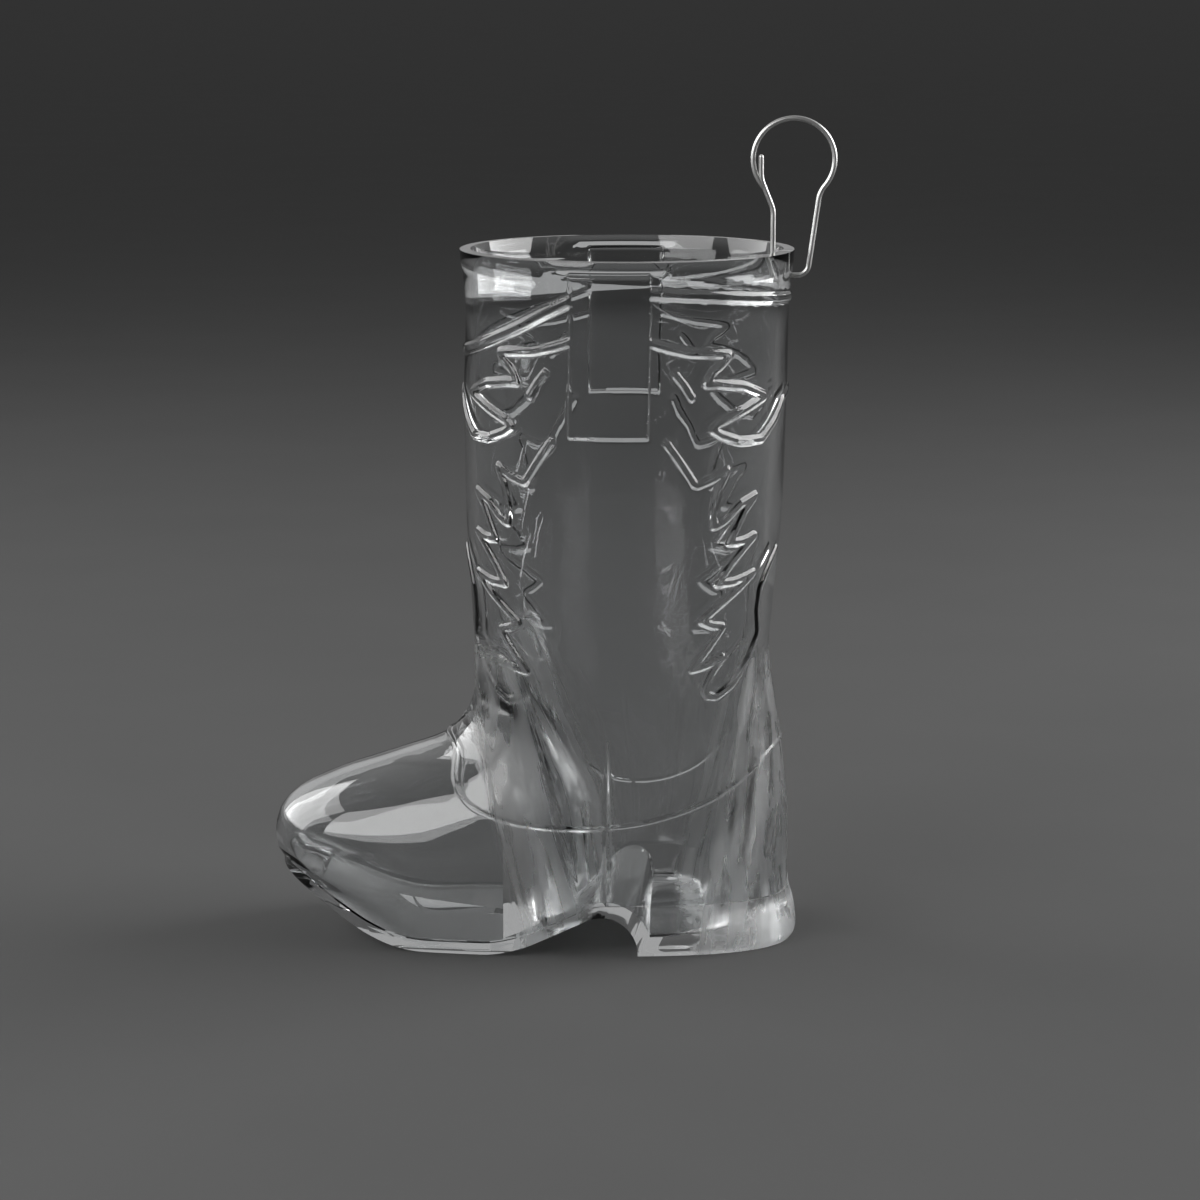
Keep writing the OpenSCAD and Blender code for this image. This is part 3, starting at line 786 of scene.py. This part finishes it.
def thick_zones_group():
    """Where the moulding is thick: a mask over the web in front of the well and the wedge behind
    it, and streaks that lean as each zone leans. Across a zone the place is x + lean z."""
    group, _, result = new_group(
        "thick_zones", [], [("Thick", "NodeSocketFloat"), ("Streak", "NodeSocketFloat")],
    )
    link = group.links.new
    where = add_node(group, "ShaderNodeTexCoord")
    split = add_node(group, "ShaderNodeSeparateXYZ")
    link(where.outputs["Object"], split.inputs["Vector"])
    web_at, heel_at = across(group, split, WEB_LEAN), across(group, split, HEEL_LEAN)
    web = join(
        group,
        smooth_step(group, web_at, AXIS_X + WEB_FROM, ZONE_EDGE),
        smooth_step(group, web_at, AXIS_X + WEB_TO, -ZONE_EDGE),
    )
    web = join(group, web, smooth_step(group, split.outputs["Z"], WEB_TOP, -2 * ZONE_EDGE))
    heel = join(
        group,
        smooth_step(group, heel_at, AXIS_X + HEEL_FROM, ZONE_EDGE),
        smooth_step(group, split.outputs["Z"], HEEL_TOP, -2 * ZONE_EDGE),
    )
    thick = join(group, web, heel, "MAXIMUM")
    zone_at = add_node(group, "ShaderNodeMix", data_type="FLOAT")
    link(web, zone_at.inputs["Factor"])
    link(heel_at, zone_at.inputs["A"])
    link(web_at, zone_at.inputs["B"])
    leaning = add_node(group, "ShaderNodeCombineXYZ")
    link(zone_at.outputs["Result"], leaning.inputs["X"])
    link(split.outputs["Y"], leaning.inputs["Y"])
    link(split.outputs["Z"], leaning.inputs["Z"])
    draw = add_node(group, "ShaderNodeMapping", Scale=(1.0, 1.0, STREAK_STRETCH))
    link(leaning.outputs["Vector"], draw.inputs["Vector"])
    noise = add_node(group, "ShaderNodeTexNoise", Scale=STREAK_SCALE, Detail=2.0, Roughness=0.55)
    link(draw.outputs["Vector"], noise.inputs["Vector"])
    sharp = add_node(group, "ShaderNodeMapRange",
                     **{"From Min": STREAK_LOW, "From Max": STREAK_HIGH})
    link(noise.outputs["Fac"], sharp.inputs["Value"])
    link(thick, result.inputs["Thick"])
    link(join(group, thick, sharp.outputs["Result"]), result.inputs["Streak"])
    return group


thick_zones = thick_zones_group()
print("group", thick_zones.name, [s.name for s in thick_zones.interface.items_tree])

# %% [markdown]
# The second group puts the streaks together with the slow flow and the haze.

# %% Node group: moulded clarity
CLEAN_GLOSS, THICK_HAZE, STREAK_HAZE, STREAK_HEIGHT = 0.004, 0.08, 0.5, 4.0
DEEP_TINT, PALE_TINT = (0.85, 0.86, 0.865, 1), (0.89, 0.9, 0.903, 1)


def moulded_clarity_group():
    """Tint, gloss and flow height of a clear moulding: noise on Object coordinates, and streaks
    where it is thick."""
    group, given, result = new_group(
        "moulded_clarity",
        [("Flow Scale", "NodeSocketFloat", 60.0), ("Haze", "NodeSocketFloat", 0.03)],
        [("Tint", "NodeSocketColor"), ("Gloss", "NodeSocketFloat"), ("Flow", "NodeSocketFloat")],
    )
    link = group.links.new
    where = add_node(group, "ShaderNodeTexCoord")
    zones = add_node(group, "ShaderNodeGroup", node_tree=thick_zones)
    stretch = add_node(group, "ShaderNodeMapping", Scale=(1.0, 1.0, 0.35))
    link(where.outputs["Object"], stretch.inputs["Vector"])
    flow = add_node(group, "ShaderNodeTexNoise", Detail=2.0, Roughness=0.4, Distortion=0.8)
    link(stretch.outputs["Vector"], flow.inputs["Vector"])
    link(given.outputs["Flow Scale"], flow.inputs["Scale"])
    haze = add_node(group, "ShaderNodeTexNoise", Scale=140.0, Detail=4.0, Roughness=0.6)
    link(where.outputs["Object"], haze.inputs["Vector"])
    patch = add_node(group, "ShaderNodeMapRange", **{"From Min": 0.45, "From Max": 0.75})
    link(haze.outputs["Fac"], patch.inputs["Value"])
    gloss = times_plus(group, patch.outputs["Result"], given.outputs["Haze"], CLEAN_GLOSS)
    gloss = times_plus(group, zones.outputs["Thick"], THICK_HAZE, gloss)
    gloss = times_plus(group, zones.outputs["Streak"], STREAK_HAZE, gloss)
    height = times_plus(group, zones.outputs["Streak"], STREAK_HEIGHT, flow.outputs["Fac"])
    tint = add_node(group, "ShaderNodeMix", data_type="RGBA")
    tint.inputs["A"].default_value = DEEP_TINT
    tint.inputs["B"].default_value = PALE_TINT
    link(flow.outputs["Fac"], tint.inputs["Factor"])
    link(tint.outputs["Result"], result.inputs["Tint"])
    link(gloss, result.inputs["Gloss"])
    link(height, result.inputs["Flow"])
    return group


clarity = moulded_clarity_group()
print("group", clarity.name, [s.name for s in clarity.interface.items_tree])

# %% [markdown]
# Glass is a Principled BSDF with full transmission. On the bonded faces the same plastic is on both
# sides. Light does not turn there, so their index is 1 and the joint can't be seen.

# %% Clear plastic
POLYSTYRENE_INDEX, JOINT_INDEX = 1.59, 1.0


def new_material(name):
    """A material with its node tree, its Principled BSDF and a shorthand for links."""
    made = bpy.data.materials.new(name)
    made.use_nodes = True
    return made, made.node_tree, made.node_tree.nodes["Principled BSDF"], made.node_tree.links.new


def clear_plastic(name, flow_scale, haze):
    """Clear polystyrene: full transmission, its index, and tint, gloss and flow from the group."""
    made, tree, shader, link = new_material(name)
    shader.inputs["Transmission Weight"].default_value = 1.0
    shader.inputs["IOR"].default_value = POLYSTYRENE_INDEX
    shader.inputs["Metallic"].default_value = 0.0
    shared = add_node(tree, "ShaderNodeGroup", node_tree=clarity)
    shared.inputs["Flow Scale"].default_value = flow_scale
    shared.inputs["Haze"].default_value = haze
    bump = add_node(tree, "ShaderNodeBump", Strength=0.05, Distance=0.0006)
    link(shared.outputs["Tint"], shader.inputs["Base Color"])
    link(shared.outputs["Gloss"], shader.inputs["Roughness"])
    link(shared.outputs["Flow"], bump.inputs["Height"])
    link(bump.outputs["Normal"], shader.inputs["Normal"])
    return made


def clear_joint(name):
    """A bonded face: the same plastic on both sides, so the index over the joint is 1."""
    made, tree, shader, link = new_material(name)
    shader.inputs["Transmission Weight"].default_value = 1.0
    shader.inputs["IOR"].default_value = JOINT_INDEX
    shader.inputs["Roughness"].default_value = 0.0
    shared = add_node(tree, "ShaderNodeGroup", node_tree=clarity)
    link(shared.outputs["Tint"], shader.inputs["Base Color"])
    return made


joint = clear_joint("clear_bond")
for piece, finish, line in (
    (boot, clear_plastic("clear_boot_plastic", 55.0, 0.03), bond_line),
    (sole, clear_plastic("clear_sole_plastic", 80.0, 0.05), bond_line - [0, BOND_GAP]),
):
    piece.data.materials.clear()
    piece.data.materials.append(finish)
    piece.data.materials.append(joint)
    land = bonded(piece, line)
    piece.data.polygons.foreach_set("material_index", land)
    print(piece.name, "has", int(land.sum()), "bonded faces of", len(land))

# %% [markdown]
# Drawn wire is bright, with fine lines along its length from the die and a little dullness where
# it was bent. Noise that is squeezed across the wire gives the lines.

# %% Drawn steel
def drawn_steel(name):
    """Steel wire: stretched noise for die lines, slower noise for dull patches."""
    made, tree, shader, link = new_material(name)
    shader.inputs["Metallic"].default_value = 1.0
    where = add_node(tree, "ShaderNodeTexCoord")
    squeeze = add_node(tree, "ShaderNodeMapping", Scale=(900.0, 6000.0, 300.0))
    lines = add_node(tree, "ShaderNodeTexNoise", Scale=1.0, Detail=3.0)
    dull = add_node(tree, "ShaderNodeTexNoise", Scale=260.0, Detail=3.0)
    link(where.outputs["Object"], squeeze.inputs["Vector"])
    link(squeeze.outputs["Vector"], lines.inputs["Vector"])
    link(where.outputs["Object"], dull.inputs["Vector"])
    colour = add_node(tree, "ShaderNodeMix", data_type="RGBA")
    colour.inputs["A"].default_value = (0.62, 0.62, 0.61, 1)
    colour.inputs["B"].default_value = (0.86, 0.86, 0.85, 1)
    rough = add_node(tree, "ShaderNodeMapRange", **{"To Min": 0.3, "To Max": 0.5})
    bump = add_node(tree, "ShaderNodeBump", Strength=0.25, Distance=0.00003)
    link(dull.outputs["Fac"], colour.inputs["Factor"])
    link(colour.outputs["Result"], shader.inputs["Base Color"])
    link(dull.outputs["Fac"], rough.inputs["Value"])
    link(rough.outputs["Result"], shader.inputs["Roughness"])
    link(lines.outputs["Fac"], bump.inputs["Height"])
    link(bump.outputs["Normal"], shader.inputs["Normal"])
    return made


wire.data.materials.clear()
wire.data.materials.append(drawn_steel("drawn_steel_wire"))
print("materials", [m.name for m in bpy.data.materials if m.users])

# %% [markdown]
# ## Each piece on its body
# The three pieces stand for the three solids. The upper and the sole ride on the boot, and the
# wire rides on the hook, which swings in its hole.

# %% Ride and replace
for piece, node, body, slot in (
    (boot, "boot_upper", "boot", "clear_boot"),
    (sole, "sole_heel", "boot", "clear_sole"),
    (wire, "wire_hook", "hook", "wire"),
):
    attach(piece, body)
    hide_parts(node)
    print(piece.name, "rides on", body)

# %% [markdown]
# ## Floor, light and camera
# A clear thing is seen by its edges, which bend whatever is bright into thin lines. Light lines need
# something darker behind them, so the floor is a plain matt grey.

# %% Floor
FLOOR_Z, FLOOR_HALF = -0.03, 9 / MM
DARK_PAPER, LIGHT_PAPER = (0.09, 0.09, 0.09, 1), (0.1, 0.1, 0.1, 1)


def floor_finish(name):
    """Plain grey matt paper with a trace of mottle."""
    made, tree, shader, link = new_material(name)
    where = add_node(tree, "ShaderNodeTexCoord")
    mottle = add_node(tree, "ShaderNodeTexNoise", Scale=30.0, Detail=4.0)
    colour = add_node(tree, "ShaderNodeMix", data_type="RGBA")
    colour.inputs["A"].default_value = DARK_PAPER
    colour.inputs["B"].default_value = LIGHT_PAPER
    link(where.outputs["Object"], mottle.inputs["Vector"])
    link(mottle.outputs["Fac"], colour.inputs["Factor"])
    link(colour.outputs["Result"], shader.inputs["Base Color"])
    shader.inputs["Roughness"].default_value = 0.95
    shader.inputs["Specular IOR Level"].default_value = 0.1
    return made


square = np.array([[-1, -1, 0], [1, -1, 0], [1, 1, 0], [-1, 1, 0]])
floor = mesh_from("floor", square * FLOOR_HALF + [0, 0, FLOOR_Z], np.array([[0, 1, 2, 3]]))
floor.data.materials.append(floor_finish("matt_paper"))
print("floor at", FLOOR_Z, "mm")

# %% [markdown]
# The room is dark in front of the boot and brighter behind it. The walls of the boot then show the
# bright side as thin lines, and stay dark in between.

# %% Room
ROOM_FRONT, ROOM_BACK, ROOM_DARK, ROOM_BRIGHT = -0.5, 0.9, 0.05, 0.42
world = bpy.data.worlds.new("room")
bpy.context.scene.world = world
world.use_nodes = True
sky = world.node_tree
view = add_node(sky, "ShaderNodeTexCoord")
parts = add_node(sky, "ShaderNodeSeparateXYZ")
shade = add_node(sky, "ShaderNodeMapRange", interpolation_type="SMOOTHSTEP", **{
    "From Min": ROOM_FRONT, "From Max": ROOM_BACK, "To Min": ROOM_DARK, "To Max": ROOM_BRIGHT,
})
sky.links.new(view.outputs["Generated"], parts.inputs["Vector"])
sky.links.new(parts.outputs["Y"], shade.inputs["Value"])
sky.links.new(shade.outputs["Result"], sky.nodes["Background"].inputs["Color"])
print(world.name, "from", ROOM_DARK, "in front to", ROOM_BRIGHT, "behind")

# %% [markdown]
# Two large soft panels hang left and right, above the boot and a little behind it. They light the
# streaks and the edges. A smaller one in front lays the long highlight on the toe.

# %% Soft panels
def panel(name, at, towards, width, height, watts):
    """A soft rectangular lamp at a place, turned to face another, in millimetres."""
    lamp = bpy.data.lights.new(name, "AREA")
    lamp.shape, lamp.size, lamp.size_y, lamp.energy = "RECTANGLE", width * MM, height * MM, watts
    made = bpy.data.objects.new(name, lamp)
    bpy.context.scene.collection.objects.link(made)
    way = np.array(towards, float) - at
    made.location = np.array(at) * MM
    made.rotation_euler = Vector(way).to_track_quat("-Z", "Y").to_euler()
    made.visible_camera = False
    return made


for soft in (
    panel("left_panel", (-420, 125, 248), (0, 0, 30), 420, 340, 1.4),
    panel("right_panel", (420, 125, 236), (0, 0, 30), 420, 340, 2.7),
    panel("front_panel", (-270, -265, 240), (-15, 0, 12), 340, 230, 0.95),
):
    print(soft.name, "at", [round(v / MM) for v in soft.location], "mm")

# %% [markdown]
# The camera stands where the photograph was taken from: a little above the boot, and turned a little
# towards its back. Its focal length was fitted in pixels, and a lens needs it in millimetres.

# %% Camera
AIM = np.array([AXIS_X - 2.93, 0, 37.03])
DISTANCE, AZIMUTH, PITCH = 400, math.radians(3.172), math.radians(10.505)
FOCAL_PIXELS, PHOTO_PIXELS, SENSOR = 3616, 1200, 36
back = np.array([
    math.sin(AZIMUTH) * math.cos(PITCH), -math.cos(AZIMUTH) * math.cos(PITCH), math.sin(PITCH),
])
lens = bpy.data.cameras.new("photo_camera")
lens.sensor_width, lens.lens = SENSOR, FOCAL_PIXELS / PHOTO_PIXELS * SENSOR
lens.clip_start, lens.clip_end = 0.01, 100
camera = bpy.data.objects.new("photo_camera", lens)
bpy.context.scene.collection.objects.link(camera)
camera.location = (AIM + DISTANCE * back) * MM
camera.rotation_euler = Vector(-back).to_track_quat("-Z", "Y").to_euler()
bpy.context.scene.camera = camera
bpy.context.scene.view_settings.view_transform = "Standard"
print(camera.name, "lens", round(lens.lens, 2), "mm")
